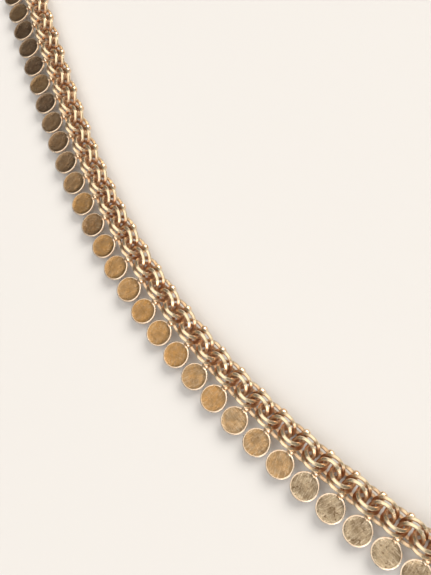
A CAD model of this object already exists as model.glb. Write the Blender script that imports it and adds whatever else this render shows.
"""Looks for a glasses strap: a chain of paired rings with a fringe of discs,
and a claw clasp, a cap and a silicone temple loop at each end."""

import math

import bpy
from bpy.props import (FloatProperty, FloatVectorProperty, IntProperty,
                       PointerProperty)
from mathutils import Matrix, Vector


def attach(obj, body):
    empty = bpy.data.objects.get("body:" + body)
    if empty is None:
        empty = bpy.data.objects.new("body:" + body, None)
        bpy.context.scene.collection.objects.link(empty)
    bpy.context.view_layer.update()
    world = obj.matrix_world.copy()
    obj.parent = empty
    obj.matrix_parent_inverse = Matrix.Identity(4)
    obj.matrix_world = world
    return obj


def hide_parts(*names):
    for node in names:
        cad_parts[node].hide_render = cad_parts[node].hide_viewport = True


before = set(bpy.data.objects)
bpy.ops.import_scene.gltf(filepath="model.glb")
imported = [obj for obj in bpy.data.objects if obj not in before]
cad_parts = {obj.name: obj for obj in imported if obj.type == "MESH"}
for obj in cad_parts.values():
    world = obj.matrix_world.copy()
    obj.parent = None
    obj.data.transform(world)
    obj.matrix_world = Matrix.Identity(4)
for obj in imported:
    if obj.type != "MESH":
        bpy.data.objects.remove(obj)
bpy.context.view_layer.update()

bl_info = {
    "name": "Glasses Chain Strap",
    "version": (1, 0, 0),
    "blender": (4, 5, 0),
    "location": "3D View > Sidebar > Strap",
    "description": "Builds the rings, fringe discs, clasps and temple loops of a glasses strap",
    "category": "Add Mesh",
}

MM = 0.001
RUNS = 21
UNITS_PER_RUN = 6
ENDS = ("a", "b")
WIRE_STEPS = 8  # corners of the wire's section, two for each of its four worn flats
BEAD_STRETCH = (1.5, 1.22, 1.42)  # along the chain, across it and upwards
BEAD_LUMP = 0.13  # how uneven a bead is, as a share of its size
COLLAR_STRETCH = (0.95, 0.85, 0.62)
SOLDER_BITE = 0.05 * MM  # how far a disc reaches into its bead
COLLAR_BITE = 0.1 * MM  # how far the middle of a collar lies inside the edge of its disc
DENT = 0.02 * MM  # how far the face of a disc bulges or dips
SEAM_DEPTH, SEAM_HALF = 0.06, 0.05  # share of the wire's radius, and half width in radians
# The wave of wear along the discs: the unit where it starts, and units per radian
WEAR_START, WEAR_LENGTH = 37, 9
FLAT = 31  # half of the angle that each worn flat takes of the wire's section, in degrees

# Route of the chain: distance along it in mm and its heading in degrees
HEADINGS = ((0, -90), (70, -80), (112, -68), (156, -65), (183, -57), (209, -47), (236, -38.5),
            (262, -32), (334, 0), (406, 32), (432, 38.5), (459, 47), (485, 57), (512, 65),
            (556, 68), (598, 80), (668, 90))
HOME = (173.36, -97.59)


class ChainSizes(bpy.types.PropertyGroup):
    pitch: FloatProperty(name="Unit pitch",
                         description="Length of one soldered unit along the chain",
                         default=5.3 * MM, min=5 * MM, max=6 * MM, subtype="DISTANCE",
                         unit="LENGTH")
    ring_radius: FloatProperty(name="Ring radius",
                               description="Radius of a ring to the middle of its wire",
                               default=2.12 * MM, min=2 * MM, max=2.3 * MM, subtype="DISTANCE",
                               unit="LENGTH")
    wire_radius: FloatProperty(name="Wire radius", description="Radius of the ring wire",
                               default=0.37 * MM, min=0.3 * MM, max=0.45 * MM, subtype="DISTANCE",
                               unit="LENGTH")
    pair_half: FloatProperty(name="Half pair spacing",
                             description="Half of the distance between two rings of a pair",
                             default=0.71 * MM, min=0.6 * MM, max=0.8 * MM, subtype="DISTANCE",
                             unit="LENGTH")
    pair_step: FloatProperty(name="Pair step",
                             description="Distance between the two ring pairs of a unit",
                             default=2.85 * MM, min=2.7 * MM, max=2.9 * MM, subtype="DISTANCE",
                             unit="LENGTH")
    lean: FloatProperty(name="Lean",
                        description="Angle by which a pair of rings leans over from level",
                        default=math.radians(43), min=0.6, max=0.9, subtype="ANGLE",
                        unit="ROTATION")
    bead_radius: FloatProperty(name="Bead radius", description="Radius of a solder bead",
                               default=0.55 * MM, min=0.4 * MM, max=0.6 * MM, subtype="DISTANCE",
                               unit="LENGTH")
    bead_side: FloatProperty(name="Bead offset",
                             description="Distance of a bead from the middle line of the chain",
                             default=2 * MM, min=1.7 * MM, max=2.1 * MM, subtype="DISTANCE",
                             unit="LENGTH")
    ring_steps: IntProperty(name="Ring steps", description="Steps around a ring", default=20,
                            min=16, max=64)


class FringeSizes(bpy.types.PropertyGroup):
    disc_radius: FloatProperty(name="Disc radius", description="Radius of a fringe disc",
                               default=2.5 * MM, min=2 * MM, max=2.6 * MM, subtype="DISTANCE",
                               unit="LENGTH")
    thickness: FloatProperty(name="Disc thickness", description="Thickness of a fringe disc",
                             default=0.42 * MM, min=0.3 * MM, max=0.5 * MM, subtype="DISTANCE",
                             unit="LENGTH")
    droop: FloatProperty(name="Droop", description="Angle by which a disc hangs down from level",
                         default=math.radians(6), min=0, max=0.4, subtype="ANGLE", unit="ROTATION")
    rim: FloatProperty(name="Rim width", description="Width of the bright bevel around a disc",
                       default=0.12 * MM, min=0.05 * MM, max=0.2 * MM, subtype="DISTANCE",
                       unit="LENGTH")


class FittingSizes(bpy.types.PropertyGroup):
    link_radius: FloatProperty(name="End link radius",
                               description="Radius of the link that ends the chain",
                               default=2.15 * MM, min=2 * MM, max=2.3 * MM, subtype="DISTANCE",
                               unit="LENGTH")
    link_wire: FloatProperty(name="End link wire",
                             description="Wire radius of the link that ends the chain",
                             default=0.35 * MM, min=0.3 * MM, max=0.36 * MM, subtype="DISTANCE",
                             unit="LENGTH")
    ring_radius: FloatProperty(name="Loop ring radius",
                               description="Radius of the ring between clasp and cap",
                               default=2.6 * MM, min=2.5 * MM, max=2.7 * MM, subtype="DISTANCE",
                               unit="LENGTH")
    ring_wire: FloatProperty(name="Loop ring wire",
                             description="Wire radius of the ring between clasp and cap",
                             default=0.4 * MM, min=0.35 * MM, max=0.42 * MM, subtype="DISTANCE",
                             unit="LENGTH")
    soft_edge: FloatProperty(name="Soft edge",
                             description="Width of the rounding on the edges of clasp and cap",
                             default=0.2 * MM, min=0.05 * MM, max=0.3 * MM, subtype="DISTANCE",
                             unit="LENGTH")
    rivet_radius: FloatProperty(name="Rivet radius",
                                description="Radius of the rivet that the clasp's gate turns on",
                                default=0.42 * MM, min=0.35 * MM, max=0.45 * MM, subtype="DISTANCE",
                                unit="LENGTH")
    rivet_length: FloatProperty(name="Rivet length", description="Length of the rivet",
                                default=2.7 * MM, min=2.4 * MM, max=2.9 * MM, subtype="DISTANCE",
                                unit="LENGTH")
    coil_length: FloatProperty(name="Coil length", description="Length of the sliding coil",
                               default=5 * MM, min=4 * MM, max=6 * MM, subtype="DISTANCE",
                               unit="LENGTH")
    coil_turns: IntProperty(name="Coil turns", description="Turns of wire in the sliding coil",
                            default=10, min=6, max=12)


class Finishes(bpy.types.PropertyGroup):
    wire_gold: FloatVectorProperty(name="Wire gold",
                                   description="Gold of the worn outside of the rings",
                                   default=(0.98, 0.80, 0.53), min=0, max=1, subtype="COLOR")
    deep_gold: FloatVectorProperty(name="Deep gold", description="Gold deep between the rings",
                                   default=(0.40, 0.15, 0.045), min=0, max=1, subtype="COLOR")
    disc_gold: FloatVectorProperty(name="Disc gold",
                                   description="Orange gold of the brushed disc faces",
                                   default=(0.50, 0.265, 0.085), min=0, max=1, subtype="COLOR")
    pale_gold: FloatVectorProperty(name="Pale gold",
                                   description="Pale gold of the discs that are rubbed most",
                                   default=(0.42, 0.34, 0.23), min=0, max=1, subtype="COLOR")
    dull_gold: FloatVectorProperty(name="Dull gold",
                                   description="Brown gold of the discs that are tarnished most",
                                   default=(0.20, 0.12, 0.07), min=0, max=1, subtype="COLOR")
    silicone: FloatVectorProperty(name="Silicone", description="Colour of the temple loops",
                                  default=(0.018, 0.018, 0.02), min=0, max=1, subtype="COLOR")
    floor: FloatVectorProperty(name="Floor", description="Colour of the floor",
                               default=(0.72, 0.71, 0.70), min=0, max=1, subtype="COLOR")


# ---------------------------------------------------------------- helpers

def wave(i, k=1.0):
    """A repeatable number from -1 to 1 that differs from piece to piece."""
    v = math.sin(i * 12.9898 + k * 78.233) * 43758.5453
    return 2 * (v - math.floor(v)) - 1


def deselect():
    if bpy.context.object and bpy.context.object.mode != "OBJECT":
        bpy.ops.object.mode_set(mode="OBJECT")
    bpy.ops.object.select_all(action="DESELECT")


def pick(*objs):
    deselect()
    for o in objs:
        o.select_set(True)
    bpy.context.view_layer.objects.active = objs[0]


def bake_place(o):
    """Moves the object's place into its mesh."""
    o.data.transform(o.matrix_basis)
    o.matrix_basis = Matrix.Identity(4)
    return o


def join(objs, name):
    pick(*objs)
    if len(objs) > 1:
        bpy.ops.object.join()
    o = bpy.context.object
    o.name = o.data.name = name
    return bake_place(o)


def smooth(o, angle=40):
    pick(o)
    bpy.ops.object.shade_smooth_by_angle(angle=math.radians(angle))


def own_copy(o, name, matrix):
    c = o.copy()
    c.data = o.data.copy()
    c.name = c.data.name = name
    bpy.context.collection.objects.link(c)
    c.data.transform(matrix)
    return c


def flag(o, name, value):
    """Gives every point of the mesh a number, from a function of its place."""
    a = o.data.attributes.get(name) or o.data.attributes.new(name, "FLOAT", "POINT")
    for v in o.data.vertices:
        a.data[v.index].value = value(v.co, v.normal)


def select_faces(o, chosen):
    """Leaves only the chosen faces selected, for an edit that follows."""
    bpy.context.tool_settings.mesh_select_mode = (False, False, True)
    for part in (*o.data.vertices, *o.data.edges):
        part.select = False
    for p in o.data.polygons:
        p.select = chosen(p)


def finish_piece(o, body, slot, *nodes):
    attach(o, body)
    if nodes:
        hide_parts(*nodes)


# ---------------------------------------------------------------- route

def heading(k):
    s = (k + 0.5) * 668 / (RUNS * UNITS_PER_RUN)
    for (s0, h0), (s1, h1) in zip(HEADINGS, HEADINGS[1:]):
        if s <= s1:
            return math.radians(h0 + (h1 - h0) * (s - s0) / (s1 - s0))
    return math.radians(HEADINGS[-1][1])


def unit_frames(pitch, pair_step, mid_z):
    """Place of each soldered unit: X along the chain, the discs on the -Y side."""
    meet = (pair_step + pitch) / 2 / pitch
    x, y, out = -HOME[0] * MM, -HOME[1] * MM, []
    for k in range(RUNS * UNITS_PER_RUN):
        h, n = heading(k), heading(k + 1)
        out.append(Matrix.Translation((x, y, mid_z)) @ Matrix.Rotation(h, 4, "Z"))
        x += pitch * (meet * math.cos(h) + (1 - meet) * math.cos(n))
        y += pitch * (meet * math.sin(h) + (1 - meet) * math.sin(n))
    return out


def chain_mid_z(c):
    return c.ring_radius * math.sin(c.lean) + c.pair_half * math.cos(c.lean) + c.wire_radius


def frames():
    c = bpy.context.scene.strap_chain
    return unit_frames(c.pitch, c.pair_step, chain_mid_z(c))


def end_frame(end):
    """Frame of an end: +X runs outward from the last ring pair, Z is height."""
    f = frames()
    drop = Matrix.Translation((0, 0, -chain_mid_z(bpy.context.scene.strap_chain)))
    if end == "a":
        return drop @ f[0] @ Matrix.Rotation(math.pi, 4, "Z")
    return drop @ f[-1] @ Matrix.Translation((bpy.context.scene.strap_chain.pair_step, 0, 0))


# ---------------------------------------------------------------- finishes

class Nodes:
    """Short way to lay out a node tree."""

    def __init__(self, name):
        old = bpy.data.materials.get(name)
        if old:
            bpy.data.materials.remove(old)
        self.mat = bpy.data.materials.new(name)
        self.mat.use_nodes = True
        self.tree = self.mat.node_tree
        self.tree.nodes.clear()
        self.out = self.add("ShaderNodeOutputMaterial")
        self.bsdf = self.add("ShaderNodeBsdfPrincipled")
        self.link(self.bsdf.outputs[0], self.out.inputs[0])

    def add(self, kind, **values):
        n = self.tree.nodes.new(kind)
        for k, v in values.items():
            if k in n.inputs:
                n.inputs[k].default_value = v
            else:
                setattr(n, k, v)
        return n

    def link(self, a, b):
        self.tree.links.new(a, b)

    def coords(self, which="Object", scale=(1, 1, 1)):
        c = self.add("ShaderNodeTexCoord")
        m = self.add("ShaderNodeMapping")
        m.inputs["Scale"].default_value = scale
        self.link(c.outputs[which], m.inputs["Vector"])
        return m.outputs["Vector"]

    def noise(self, vector, scale, detail=3, rough=0.55):
        n = self.add("ShaderNodeTexNoise", Scale=scale, Detail=detail, Roughness=rough)
        self.link(vector, n.inputs["Vector"])
        return n.outputs["Fac"]

    def attribute(self, name):
        return self.add("ShaderNodeAttribute", attribute_name=name).outputs["Fac"]

    def remap(self, value, a, b, c, d):
        n = self.add("ShaderNodeMapRange")
        for key, v in zip(("From Min", "From Max", "To Min", "To Max"), (a, b, c, d)):
            n.inputs[key].default_value = v
        self.link(value, n.inputs["Value"])
        return n.outputs["Result"]

    def mix(self, fac, a, b):
        n = self.add("ShaderNodeMix", data_type="RGBA")
        for value, key in ((fac, 0), (a, 6), (b, 7)):
            if hasattr(value, "is_linked"):
                self.link(value, n.inputs[key])
            else:
                n.inputs[key].default_value = value if key == 0 else (*value, 1)
        return n.outputs[2]

    def maths(self, how, a, b=0.0):
        n = self.add("ShaderNodeMath", operation=how)
        for i, v in enumerate((a, b)):
            if hasattr(v, "is_linked"):
                self.link(v, n.inputs[i])
            else:
                n.inputs[i].default_value = v
        return n.outputs[0]

    def bump(self, height, strength, distance, normal=None):
        n = self.add("ShaderNodeBump", Strength=strength, Distance=distance)
        self.link(height, n.inputs["Height"])
        if normal:
            self.link(normal, n.inputs["Normal"])
        return n.outputs["Normal"]


def wire_gold():
    """Drawn gold wire: pale and satin where it is worn, deep and brown in the gaps."""
    s = bpy.context.scene.strap_finishes
    m = Nodes("wire_gold")
    m.bsdf.inputs["Metallic"].default_value = 1.0
    along = m.coords("UV", (3, 26, 1))
    place = m.coords("Object")
    drawn = m.noise(along, 6, 4, 0.6)
    cloud = m.noise(place, 900, 4, 0.6)
    grain = m.noise(place, 9000, 2, 0.5)
    outer = m.attribute("outer")
    worn = m.remap(m.maths("ADD", outer, m.remap(cloud, 0.3, 0.7, -0.18, 0.18)), 0.15, 0.85, 0, 1)
    gold = m.mix(worn, tuple(s.deep_gold), tuple(s.wire_gold))
    gold = m.mix(m.remap(m.attribute("tone"), -1, 1, 0, 0.3), gold, (0.95, 0.67, 0.42))
    gold = m.mix(m.remap(drawn, 0.4, 0.7, 0, 0.35), gold, (0.98, 0.84, 0.66))
    m.link(gold, m.bsdf.inputs["Base Color"])
    rough = m.maths("ADD", m.remap(drawn, 0.3, 0.7, 0.17, 0.32),
                    m.remap(grain, 0.3, 0.7, -0.04, 0.04))
    m.link(m.maths("ADD", rough, m.remap(worn, 0, 1, 0.08, 0)), m.bsdf.inputs["Roughness"])
    n = m.bump(drawn, 0.25, 0.00004)
    m.link(m.bump(grain, 0.12, 0.00002, n), m.bsdf.inputs["Normal"])
    return m.mat


def bead_gold():
    """Solder beads: a little redder and rougher than the wire."""
    m = Nodes("bead_gold")
    m.bsdf.inputs["Metallic"].default_value = 1.0
    place = m.coords("Object")
    lumps = m.noise(place, 1600, 3, 0.6)
    grain = m.noise(place, 8000, 2, 0.5)
    m.link(m.mix(m.remap(lumps, 0.35, 0.65, 0, 1), (0.80, 0.50, 0.28), (0.98, 0.82, 0.62)),
           m.bsdf.inputs["Base Color"])
    m.link(m.remap(grain, 0.3, 0.7, 0.2, 0.36), m.bsdf.inputs["Roughness"])
    m.link(m.bump(lumps, 0.55, 0.00012), m.bsdf.inputs["Normal"])
    return m.mat


def disc_gold():
    """Brushed disc faces: fine lines one way, a few dents and pits, a tint of their own."""
    s = bpy.context.scene.strap_finishes
    m = Nodes("disc_gold")
    m.bsdf.inputs["Metallic"].default_value = 1.0
    lines = m.noise(m.coords("UV", (3, 34, 1)), 1, 5, 0.7)
    cross = m.noise(m.coords("UV", (22, 2, 1)), 1, 5, 0.75)
    place = m.coords("Object")
    patch = m.noise(place, 620, 4, 0.6)
    grain = m.noise(place, 5200, 3, 0.6)
    pits = m.noise(place, 2100, 3, 0.6)
    rubbed = m.attribute("rubbed")
    wear = m.remap(rubbed, 0.35, 0.8, 0.35, 1)
    face = m.mix(m.remap(rubbed, 0.4, 0.8, 0, 1), tuple(s.disc_gold), tuple(s.pale_gold))
    face = m.mix(m.remap(rubbed, -0.45, -0.8, 0, 1), face, tuple(s.dull_gold))
    face = m.mix(m.remap(m.attribute("tone"), -1, 1, 0, 0.45), face, (0.52, 0.32, 0.15))
    face = m.mix(m.maths("MULTIPLY", wear, m.remap(patch, 0.42, 0.6, 0, 0.85)), face,
                 (0.22, 0.155, 0.09))
    face = m.mix(m.maths("MULTIPLY", wear, m.remap(lines, 0.5, 0.66, 0, 1)), face,
                 (0.74, 0.62, 0.46))
    face = m.mix(m.remap(cross, 0.56, 0.74, 0, 0.6), face, (0.70, 0.55, 0.38))
    face = m.mix(m.maths("MULTIPLY", wear, m.remap(pits, 0.58, 0.68, 0, 0.9)), face,
                 (0.14, 0.08, 0.04))
    m.link(face, m.bsdf.inputs["Base Color"])
    rough = m.maths("ADD", m.remap(lines, 0.3, 0.7, 0.34, 0.2),
                    m.remap(grain, 0.3, 0.7, -0.08, 0.08))
    m.link(m.maths("ADD", rough, m.remap(patch, 0.35, 0.68, 0, 0.16)), m.bsdf.inputs["Roughness"])
    n = m.bump(lines, 0.5, 0.00008)
    n = m.bump(cross, 0.35, 0.00008, n)
    n = m.bump(grain, 0.3, 0.00003, n)
    m.link(m.bump(patch, 0.5, 0.0003, n), m.bsdf.inputs["Normal"])
    return m.mat


def rim_gold():
    """The bright turned rim of a disc."""
    m = Nodes("rim_gold")
    m.bsdf.inputs["Metallic"].default_value = 1.0
    nicks = m.noise(m.coords("Object"), 1500, 3, 0.6)
    m.link(m.mix(m.remap(nicks, 0.35, 0.7, 0, 1), (0.99, 0.84, 0.66), (0.92, 0.68, 0.47)),
           m.bsdf.inputs["Base Color"])
    m.link(m.remap(nicks, 0.3, 0.7, 0.2, 0.42), m.bsdf.inputs["Roughness"])
    m.link(m.bump(nicks, 0.3, 0.00005), m.bsdf.inputs["Normal"])
    return m.mat


def cast_gold():
    """Cast and tumbled gold of clasps and caps: orange skin, hairlines, pale high spots."""
    m = Nodes("cast_gold")
    m.bsdf.inputs["Metallic"].default_value = 1.0
    place = m.coords("Object")
    skin = m.noise(place, 1400, 3, 0.5)
    cloud = m.noise(place, 300, 4, 0.6)
    lines = m.noise(m.coords("Object", (9, 1, 1)), 1100, 3, 0.7)
    worn = m.remap(m.attribute("outer"), 0.2, 1, 0, 1)
    gold = m.mix(m.maths("MULTIPLY", worn, m.remap(cloud, 0.3, 0.6, 0.55, 1)), (0.62, 0.34, 0.13),
                 (0.88, 0.61, 0.34))
    gold = m.mix(m.remap(lines, 0.58, 0.75, 0, 0.4), gold, (0.97, 0.82, 0.60))
    m.link(gold, m.bsdf.inputs["Base Color"])
    m.link(m.maths("ADD", m.remap(lines, 0.35, 0.7, 0.16, 0.34),
                   m.remap(cloud, 0.3, 0.7, -0.04, 0.06)),
           m.bsdf.inputs["Roughness"])
    n = m.bump(skin, 0.25, 0.00006)
    m.link(m.bump(lines, 0.15, 0.00003, n), m.bsdf.inputs["Normal"])
    return m.mat


def spun_gold(name="spun_gold", rub=4200):
    """Polished wire of the single links and the sliding coil, rubbed by its neighbours."""
    m = Nodes(name)
    m.bsdf.inputs["Metallic"].default_value = 1.0
    place = m.coords("Object")
    cloud = m.noise(place, 700, 3, 0.6)
    rubs = m.noise(place, rub, 3, 0.6)
    gold = m.mix(m.remap(cloud, 0.35, 0.65, 0, 1), (0.74, 0.45, 0.21), (0.88, 0.62, 0.36))
    m.link(gold, m.bsdf.inputs["Base Color"])
    m.link(m.remap(rubs, 0.3, 0.7, 0.14, 0.38), m.bsdf.inputs["Roughness"])
    m.link(m.bump(rubs, 0.2, 0.00003), m.bsdf.inputs["Normal"])
    return m.mat


def spring_steel():
    """Blued steel leaf with rolled lines along it."""
    m = Nodes("spring_steel")
    m.bsdf.inputs["Metallic"].default_value = 1.0
    lines = m.noise(m.coords("Object", (1, 6, 1)), 1800, 3, 0.6)
    m.link(m.mix(m.remap(lines, 0.3, 0.7, 0, 1), (0.34, 0.34, 0.36), (0.60, 0.59, 0.58)),
           m.bsdf.inputs["Base Color"])
    m.link(m.remap(lines, 0.3, 0.7, 0.25, 0.45), m.bsdf.inputs["Roughness"])
    m.link(m.bump(lines, 0.2, 0.00002), m.bsdf.inputs["Normal"])
    return m.mat


def loop_silicone():
    """Black silicone cord: dull skin, faint dust and small scuffs."""
    s = bpy.context.scene.strap_finishes
    m = Nodes("loop_silicone")
    place = m.coords("Object")
    dust = m.noise(place, 1900, 4, 0.65)
    skin = m.noise(place, 6000, 2, 0.5)
    scuff = m.noise(m.coords("Object", (1, 5, 1)), 420, 4, 0.7)
    base = m.mix(m.remap(dust, 0.55, 0.8, 0, 0.35), tuple(s.silicone), (0.12, 0.115, 0.11))
    base = m.mix(m.remap(scuff, 0.6, 0.8, 0, 0.5), base, (0.07, 0.07, 0.072))
    m.link(base, m.bsdf.inputs["Base Color"])
    m.link(m.maths("ADD", m.remap(skin, 0.3, 0.7, 0.48, 0.62), m.remap(scuff, 0.4, 0.8, 0, 0.12)),
           m.bsdf.inputs["Roughness"])
    m.bsdf.inputs["Specular IOR Level"].default_value = 0.4
    n = m.bump(skin, 0.25, 0.00003)
    m.link(m.bump(scuff, 0.2, 0.00006, n), m.bsdf.inputs["Normal"])
    return m.mat


# ---------------------------------------------------------------- rings

def ring_master(name, radius, wire, steps):
    """A ring bent from wire, with the four worn flats that rolling leaves on it."""
    deselect()
    bpy.ops.mesh.primitive_torus_add(align="WORLD", location=(0, 0, 0), major_segments=steps,
                                     minor_segments=WIRE_STEPS, major_radius=radius,
                                     minor_radius=wire, generate_uvs=True)
    o = bpy.context.object
    o.name = o.data.name = name
    for v in o.data.vertices:
        around = math.atan2(v.co.y, v.co.x)
        section = math.degrees(math.atan2(v.co.z, math.hypot(v.co.x, v.co.y) - radius))
        step = round(section / (360 / WIRE_STEPS)) % WIRE_STEPS
        turn = math.radians(90 * (step // 2) + (45 - FLAT if step % 2 == 0 else 45 + FLAT))
        out = radius + wire * math.cos(turn)
        v.co = (out * math.cos(around), out * math.sin(around), wire * math.sin(turn))
    return o


def bead_master(radius):
    """A lump of solder, longer along the chain and uneven."""
    deselect()
    bpy.ops.mesh.primitive_uv_sphere_add(segments=10, ring_count=7, radius=radius,
                                         location=(0, 0, 0))
    o = bpy.context.object
    along, across, up = BEAD_STRETCH
    for v in o.data.vertices:
        lump = 1 + BEAD_LUMP * math.sin(v.co.x * 5200 + 1) * math.cos(v.co.z * 4700)
        v.co = (v.co.x * along * lump, v.co.y * across, v.co.z * up * lump)
    return o


def plain_link(name, radius, wire, place):
    """A single wire ring with a soldered seam."""
    deselect()
    bpy.ops.mesh.primitive_torus_add(align="WORLD", location=(0, 0, 0), major_segments=56,
                                     minor_segments=14, major_radius=radius, minor_radius=wire)
    o = bpy.context.object
    for v in o.data.vertices:
        around = math.atan2(v.co.y, v.co.x)
        swell = -SEAM_DEPTH * math.exp(-((abs(around) - SEAM_HALF) / SEAM_HALF) ** 2)
        middle = Vector((math.cos(around), math.sin(around), 0)) * radius
        v.co = middle + (v.co - middle) * (1 + swell)
    o.name = o.data.name = name
    o.data.transform(place)
    smooth(o, 60)
    return o


class STRAP_OT_chain(bpy.types.Operator):
    """Models one ring and one bead, and lays the soldered units along the route"""
    bl_idname = "strap.chain"
    bl_label = "Chain Rings"

    def execute(self, context):
        c = context.scene.strap_chain
        gold, solder = wire_gold(), bead_gold()
        ring = ring_master("ring", c.ring_radius, c.wire_radius, c.ring_steps)
        ring.data.materials.append(gold)
        bead = bead_master(c.bead_radius)
        bead.data.materials.append(solder)
        reach = c.ring_radius + c.wire_radius
        parts = []
        for x, lean in ((0, -c.lean), (c.pair_step, c.lean)):
            for side in (-1, 1):
                turn = Matrix.Rotation(lean, 4, "X")
                lift = Matrix.Translation((0, 0, side * c.pair_half))
                spin = Matrix.Rotation(0.65 * side + lean, 4, "Z")
                parts.append(own_copy(ring, "part",
                                      Matrix.Translation((x, 0, 0)) @ turn @ lift @ spin))
        for side in (-1, 1):
            parts.append(own_copy(bead, "part",
                                  Matrix.Translation((c.pair_step / 2, side * c.bead_side, 0))))
        unit = join(parts, "unit")
        smooth(unit, 43)
        flag(unit, "outer", lambda p, n: min(1, max(0, (math.hypot(p.y, p.z) / reach - 0.3) / 0.5))
             * (0.5 + 0.5 * max(0, (n.y * p.y + n.z * p.z) / (math.hypot(p.y, p.z) + 1e-9))))
        flag(unit, "tone", lambda p, n: 0.0)
        places = frames()
        for run in range(1, RUNS + 1):
            made = []
            for i in range(UNITS_PER_RUN):
                k = (run - 1) * UNITS_PER_RUN + i
                u = own_copy(unit, "u", places[k])
                tone = u.data.attributes["tone"].data
                for j, a in enumerate(tone):
                    a.value = wave(k + j // (c.ring_steps * WIRE_STEPS) * 0.37)
                made.append(u)
            o = join(made, f"chain_rings_{run:02d}")
            finish_piece(o, f"run_{run:02d}", "links", f"links_{run:02d}")
        for o in (ring, bead, unit):
            bpy.data.objects.remove(o)
        return {"FINISHED"}


# ---------------------------------------------------------------- fringe

def rubbed(k):
    """Wear of a disc, from -1 where it is tarnished to 1 where it is rubbed pale, in slow waves."""
    return max(-1, min(1, math.sin((k - WEAR_START) / WEAR_LENGTH) + 0.25 * wave(k, 4)))


def collar_master(radius):
    """The flattened lump of solder between a bead and its disc, wider towards the disc."""
    deselect()
    bpy.ops.mesh.primitive_uv_sphere_add(segments=10, ring_count=6, radius=radius,
                                         location=(0, 0, 0))
    o = bpy.context.object
    wide, deep, up = COLLAR_STRETCH
    for v in o.data.vertices:
        spread = 1 + 0.45 * max(0, -v.co.y) / radius
        v.co = (v.co.x * wide * spread, v.co.y * deep, v.co.z * up)
    smooth(o, 60)
    return o


class STRAP_OT_fringe(bpy.types.Operator):
    """Models one disc with its bright rim, and solders one to the outer bead of every unit"""
    bl_idname = "strap.fringe"
    bl_label = "Fringe Discs"

    def execute(self, context):
        c, f = context.scene.strap_chain, context.scene.strap_fringe
        deselect()
        bpy.ops.mesh.primitive_cylinder_add(vertices=40, radius=f.disc_radius, depth=f.thickness,
                                            end_fill_type="NGON", location=(0, 0, 0))
        disc = bpy.context.object
        disc.data.materials.append(disc_gold())
        disc.data.materials.append(rim_gold())
        select_faces(disc, lambda p: abs(p.normal.z) > 0.9)
        bpy.ops.object.mode_set(mode="EDIT")
        bpy.ops.mesh.inset(thickness=f.rim, depth=0)
        bpy.ops.object.mode_set(mode="OBJECT")
        for v in disc.data.vertices:
            r = math.hypot(v.co.x, v.co.y)
            if r > f.disc_radius - f.rim * 0.5:
                v.co.z -= math.copysign(f.rim * 0.45, v.co.z)
        select_faces(disc, lambda p: len(p.vertices) > 4)
        bpy.ops.object.mode_set(mode="EDIT")
        bpy.ops.mesh.inset(thickness=f.rim * 0.8, depth=0)
        bpy.ops.object.mode_set(mode="OBJECT")
        for p in disc.data.polygons:
            p.material_index = 0 if len(p.vertices) > 4 else 1
        bpy.ops.object.mode_set(mode="EDIT")
        bpy.ops.mesh.inset(thickness=f.rim * 0.3, depth=-0.02 * MM)
        bpy.ops.mesh.inset(thickness=f.disc_radius * 0.3, depth=0)
        bpy.ops.mesh.inset(thickness=f.disc_radius * 0.3, depth=0)
        bpy.ops.object.mode_set(mode="OBJECT")
        uv = disc.data.uv_layers.active or disc.data.uv_layers.new(name="UVMap")
        for p in disc.data.polygons:
            for li in p.loop_indices:
                co = disc.data.vertices[disc.data.loops[li].vertex_index].co
                uv.data[li].uv = (0.5 + co.x / f.disc_radius / 2, 0.5 + co.y / f.disc_radius / 2)
        collar = collar_master(c.bead_radius)
        collar.data.materials.append(bpy.data.materials.get("bead_gold") or bead_gold())
        smooth(disc, 50)
        reach = c.bead_radius + f.disc_radius - SOLDER_BITE
        places = frames()
        for run in range(1, RUNS + 1):
            made = []
            for i in range(UNITS_PER_RUN):
                k = (run - 1) * UNITS_PER_RUN + i
                hang = (Matrix.Translation((c.pair_step / 2, -c.bead_side, 0))
                        @ Matrix.Rotation(f.droop, 4, "X")
                        @ Matrix.Translation((0, -reach, 0)))
                spin = Matrix.Rotation(2.2 * wave(k, 5), 4, "Z")
                d = own_copy(disc, "d", Matrix.Identity(4))
                bulge, ripple = wave(k, 7), 0.5 * wave(k, 8)
                for v in d.data.vertices:
                    r = math.hypot(v.co.x, v.co.y) / f.disc_radius
                    if r < 0.93:
                        v.co.z += DENT * (bulge * (1 - r * r)
                                          + ripple * math.sin(v.co.x * 900 + k))
                d.data.transform(spin)
                edge = Matrix.Translation((0, f.disc_radius - COLLAR_BITE, 0))
                lump = own_copy(collar, "c", edge)
                d = join([d, lump], "d")
                d.data.transform(places[k] @ hang)
                flag(d, "tone", lambda p, n: wave(k, 3))
                flag(d, "rubbed", lambda p, n: rubbed(k))
                made.append(d)
            o = join(made, f"fringe_discs_{run:02d}")
            finish_piece(o, f"run_{run:02d}", "discs", f"discs_{run:02d}")
        for o in (disc, collar):
            bpy.data.objects.remove(o)
        return {"FINISHED"}


# ---------------------------------------------------------------- fittings

LINK_AT = (2.65 * MM, 0, 2.4 * MM)
LOOP_RING_AT = (17.55 * MM, 1.0 * MM, 3.02 * MM)
RIVET_AT = (10.15 * MM, -1.19 * MM, 2 * MM)
COIL_AT = (28.75 * MM, 1.0 * MM, 1.8 * MM)
COIL_HALF_HEIGHT = 1.6 * MM
CORD_OFFSET = 1.1 * MM  # from the middle of the coil to the middle of each cord in it
TURN_WANDER = 0.18  # how far a turn of the coil sways, as a share of the step between turns


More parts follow.
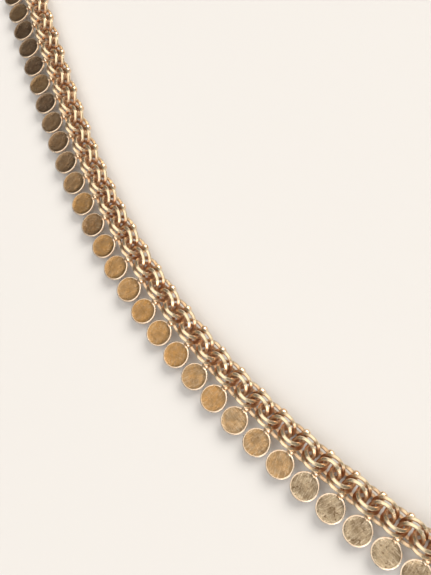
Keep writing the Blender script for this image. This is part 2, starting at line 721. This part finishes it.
def from_frame(node, name, soft_edge):
    """A copy of a frame solid with its triangles merged into faces and its edges rounded."""
    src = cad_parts[node]
    deselect()
    o = bpy.data.objects.new(name, src.data.copy())
    o.data.name = name
    o.data.materials.clear()
    bpy.context.scene.collection.objects.link(o)
    pick(o)
    bpy.ops.object.mode_set(mode="EDIT")
    bpy.ops.mesh.select_all(action="SELECT")
    bpy.ops.mesh.remove_doubles(threshold=0.000002)
    bpy.ops.mesh.dissolve_limited(angle_limit=math.radians(0.8))
    bpy.ops.object.mode_set(mode="OBJECT")
    if soft_edge:
        b = o.modifiers.new("soft_edge", "BEVEL")
        b.width, b.segments, b.limit_method, b.angle_limit = soft_edge, 3, "ANGLE", math.radians(38)
        b.use_clamp_overlap = True
        bpy.ops.object.modifier_apply(modifier="soft_edge")
        bpy.ops.object.mode_set(mode="EDIT")
        bpy.ops.mesh.select_all(action="SELECT")
        bpy.ops.mesh.remove_doubles(threshold=0.000002)
        bpy.ops.object.mode_set(mode="OBJECT")
    smooth(o, 38)
    even = o.modifiers.new("even_faces", "WEIGHTED_NORMAL")
    even.weight, even.keep_sharp = 90, True
    bpy.ops.object.modifier_apply(modifier="even_faces")
    return o


def wear_flag(o):
    """Marks the points that stand out from the middle plane of a fitting, where it rubs."""
    zs = [v.co.z for v in o.data.vertices]
    low, high = min(zs), max(zs)
    flag(o, "outer", lambda p, n: 0.35 + 0.65 * abs((p.z - low) / (high - low) * 2 - 1) ** 2)


class STRAP_OT_end_links(bpy.types.Operator):
    """Makes the plain link that ends the chain and the ring between clasp and cap"""
    bl_idname = "strap.end_links"
    bl_label = "End Links"

    def execute(self, context):
        s = context.scene.strap_fittings
        gold = spun_gold()
        for end in ENDS:
            at = end_frame(end)
            for name, node, radius, wire, place, turn in (
                    ("end_link", "end_ring", s.link_radius, s.link_wire, LINK_AT, -45),
                    ("loop_link", "loop_ring", s.ring_radius, s.ring_wire, LOOP_RING_AT, 90)):
                m = at @ Matrix.Translation(place) @ Matrix.Rotation(math.radians(turn), 4, "X")
                seam = Matrix.Rotation(math.radians(70), 4, "Z")
                o = plain_link(f"{name}_{end}", radius, wire, m @ seam)
                o.data.materials.append(gold)
                finish_piece(o, f"{node}_{end}", "fittings", f"{node}_{end}")
        return {"FINISHED"}


class STRAP_OT_clasps(bpy.types.Operator):
    """Makes the claw, gate, rivet and leaf spring of each clasp"""
    bl_idname = "strap.clasps"
    bl_label = "Clasps"

    def execute(self, context):
        s = context.scene.strap_fittings
        gold, wire, steel = cast_gold(), spun_gold("rivet_gold", 2600), spring_steel()
        for end in ENDS:
            claw = from_frame(f"clasp_body_{end}", f"clasp_claw_{end}", s.soft_edge)
            wear_flag(claw)
            claw.data.materials.append(gold)
            finish_piece(claw, f"clasp_{end}", "fittings", f"clasp_body_{end}")
            gate = from_frame(f"clasp_lever_{end}", f"clasp_gate_{end}", s.soft_edge * 0.6)
            wear_flag(gate)
            gate.data.materials.append(gold)
            finish_piece(gate, f"lever_{end}", "fittings", f"clasp_lever_{end}")
            leaf = from_frame(f"clasp_spring_{end}", f"clasp_leaf_{end}", s.soft_edge * 0.12)
            leaf.data.materials.append(steel)
            finish_piece(leaf, f"clasp_{end}", "spring", f"clasp_spring_{end}")
            deselect()
            bpy.ops.mesh.primitive_cylinder_add(vertices=28, radius=s.rivet_radius,
                                                depth=s.rivet_length,
                                                end_fill_type="NGON", location=(0, 0, 0))
            rivet = bpy.context.object
            rivet.name = rivet.data.name = f"clasp_rivet_{end}"
            select_faces(rivet, lambda p: abs(p.normal.z) > 0.9)
            bpy.ops.object.mode_set(mode="EDIT")
            bpy.ops.mesh.bevel(offset=0.1 * MM, segments=3, affect="EDGES")
            bpy.ops.object.mode_set(mode="OBJECT")
            select_faces(rivet, lambda p: len(p.vertices) > 20)
            bpy.ops.object.mode_set(mode="EDIT")
            bpy.ops.mesh.inset(thickness=0.1 * MM, depth=0)
            bpy.ops.mesh.inset(thickness=0.05 * MM, depth=-0.04 * MM)
            bpy.ops.object.mode_set(mode="OBJECT")
            rivet.data.transform(end_frame(end) @ Matrix.Translation(RIVET_AT))
            smooth(rivet, 35)
            rivet.data.materials.append(wire)
            finish_piece(rivet, f"clasp_{end}", "fittings", f"clasp_pin_{end}")
        return {"FINISHED"}


class STRAP_OT_loops(bpy.types.Operator):
    """Makes the cap and the silicone loop that holds a temple arm"""
    bl_idname = "strap.loops"
    bl_label = "Caps and Temple Loops"

    def execute(self, context):
        s = context.scene.strap_fittings
        gold = bpy.data.materials.get("cast_gold") or cast_gold()
        rubber = loop_silicone()
        for end in ENDS:
            cap = from_frame(f"loop_cap_{end}", f"cord_cap_{end}", s.soft_edge * 1.2)
            wear_flag(cap)
            cap.data.materials.append(gold)
            finish_piece(cap, f"loop_{end}", "fittings", f"loop_cap_{end}")
            loop = from_frame(f"temple_loop_{end}", f"silicone_loop_{end}", 0)
            loop.data.materials.append(rubber)
            finish_piece(loop, f"loop_{end}", "silicone", f"temple_loop_{end}")
        return {"FINISHED"}


class STRAP_OT_coils(bpy.types.Operator):
    """Winds the wire coil that slides along the neck of each temple loop"""
    bl_idname = "strap.coils"
    bl_label = "Sliding Coils"

    def execute(self, context):
        s = context.scene.strap_fittings
        gold = bpy.data.materials.get("spun_gold") or spun_gold()
        step = s.coil_length / s.coil_turns
        wire = step / 2
        half_high, spread = COIL_HALF_HEIGHT - wire, CORD_OFFSET
        for end in ENDS:
            turns = []
            for i in range(s.coil_turns):
                deselect()
                bpy.ops.mesh.primitive_torus_add(align="WORLD", location=(0, 0, 0),
                                                 major_segments=32, minor_segments=10,
                                                 major_radius=half_high,
                                                 minor_radius=wire * 1.02)
                t = bpy.context.object
                t.data.transform(Matrix.Rotation(math.radians(90), 4, "Y"))
                for v in t.data.vertices:
                    v.co.y += math.copysign(spread, v.co.y) if abs(v.co.y) > 1e-7 else 0
                    if 0 < i < s.coil_turns - 1:
                        v.co.x += TURN_WANDER * step * math.sin(3 * math.atan2(v.co.z, v.co.y) + i)
                t.data.transform(Matrix.Translation((step * (i + 0.5), 0, 0)))
                turns.append(t)
            coil = join(turns, f"grip_coil_{end}")
            smooth(coil, 60)
            coil.data.transform(end_frame(end) @ Matrix.Translation(COIL_AT))
            coil.data.materials.append(gold)
            finish_piece(coil, f"coil_{end}", "fittings", f"slide_coil_{end}")
        return {"FINISHED"}


# ---------------------------------------------------------------- stage

class STRAP_OT_stage(bpy.types.Operator):
    """Lays the plain floor and sets the camera and the soft lights"""
    bl_idname = "strap.stage"
    bl_label = "Stage"

    def execute(self, context):
        s = context.scene.strap_finishes
        deselect()
        bpy.ops.mesh.primitive_plane_add(size=4, location=(0, 0, -0.00002))
        floor = bpy.context.object
        floor.name = floor.data.name = "floor"
        m = Nodes("floor_paper")
        m.bsdf.inputs["Base Color"].default_value = (*s.floor, 1)
        m.bsdf.inputs["Roughness"].default_value = 0.9
        floor.data.materials.append(m.mat)

        cam = bpy.data.cameras.new("camera")
        cam.sensor_width = 36
        cam.lens = CAM_LENS
        cam.clip_start, cam.clip_end = 0.005, 20
        o = bpy.data.objects.new("camera", cam)
        context.scene.collection.objects.link(o)
        o.matrix_world = Matrix(CAM_PLACE)
        context.scene.camera = o

        for name, place, target, size, power, colour in LAMPS:
            d = bpy.data.lights.new(name, "AREA")
            d.shape, d.size, d.energy, d.color = "DISK", size, power, colour
            o = bpy.data.objects.new(name, d)
            context.scene.collection.objects.link(o)
            o.location = place
            o.rotation_euler = (Vector(target) - Vector(place)).to_track_quat("-Z", "Y").to_euler()
        world = bpy.data.worlds.new("studio")
        context.scene.world = world
        world.use_nodes = True
        world.node_tree.nodes["Background"].inputs[0].default_value = (0.80, 0.78, 0.76, 1)
        world.node_tree.nodes["Background"].inputs[1].default_value = 0.2
        context.scene.view_settings.view_transform = "Standard"
        return {"FINISHED"}


CAM_LENS = 43.826  # in mm, on a sensor 36 mm high
CAM_PLACE = ((0.97460, -0.00376, 0.22394, -0.07667),
             (0.07120, 0.95320, -0.29385, -0.12469),
             (-0.21236, 0.30233, 0.92925, 0.12376),
             (0.00000, 0.00000, 0.00000, 1.00000))

AIM = (-0.10, -0.06, 0)
# Name, place, the point it is aimed at, width, power and colour of each soft lamp
LAMPS = (("key_light", (1.0, 1.16, 1.5), AIM, 1.8, 50, (1.0, 0.95, 0.88)),
         ("top_light", (-0.30, -0.12, 0.60), (-0.30, -0.12, 0), 0.76, 1.7, (1.0, 0.95, 0.88)),
         ("front_light", (0.2, -1.64, 1.0), AIM, 1.6, 19, (1.0, 0.96, 0.92)))


# ---------------------------------------------------------------- panel

class STRAP_PT_panel(bpy.types.Panel):
    """Lists the pieces of the strap and their sizes"""
    bl_idname = "STRAP_PT_panel"
    bl_label = "Glasses Strap"
    bl_space_type = "VIEW_3D"
    bl_region_type = "UI"
    bl_category = "Strap"

    def draw(self, context):
        for group in GROUPS:
            data = getattr(context.scene, group)
            box = self.layout.box()
            for key in data.__annotations__:
                box.prop(data, key)
        for op in OPERATORS:
            self.layout.operator(op.bl_idname)


GROUPS = {"strap_chain": ChainSizes, "strap_fringe": FringeSizes, "strap_fittings": FittingSizes,
          "strap_finishes": Finishes}
OPERATORS = (STRAP_OT_chain, STRAP_OT_fringe, STRAP_OT_end_links, STRAP_OT_clasps, STRAP_OT_loops,
             STRAP_OT_coils, STRAP_OT_stage)


def register():
    for cls in (*GROUPS.values(), *OPERATORS, STRAP_PT_panel):
        bpy.utils.register_class(cls)
    for name, cls in GROUPS.items():
        setattr(bpy.types.Scene, name, PointerProperty(type=cls))


def unregister():
    for name in GROUPS:
        delattr(bpy.types.Scene, name)
    for cls in reversed((*GROUPS.values(), *OPERATORS, STRAP_PT_panel)):
        bpy.utils.unregister_class(cls)


def main():
    register()
    bpy.ops.strap.chain()
    bpy.ops.strap.fringe()
    bpy.ops.strap.end_links()
    bpy.ops.strap.clasps()
    bpy.ops.strap.loops()
    bpy.ops.strap.coils()
    bpy.ops.strap.stage()


if __name__ == "__main__":
    main()
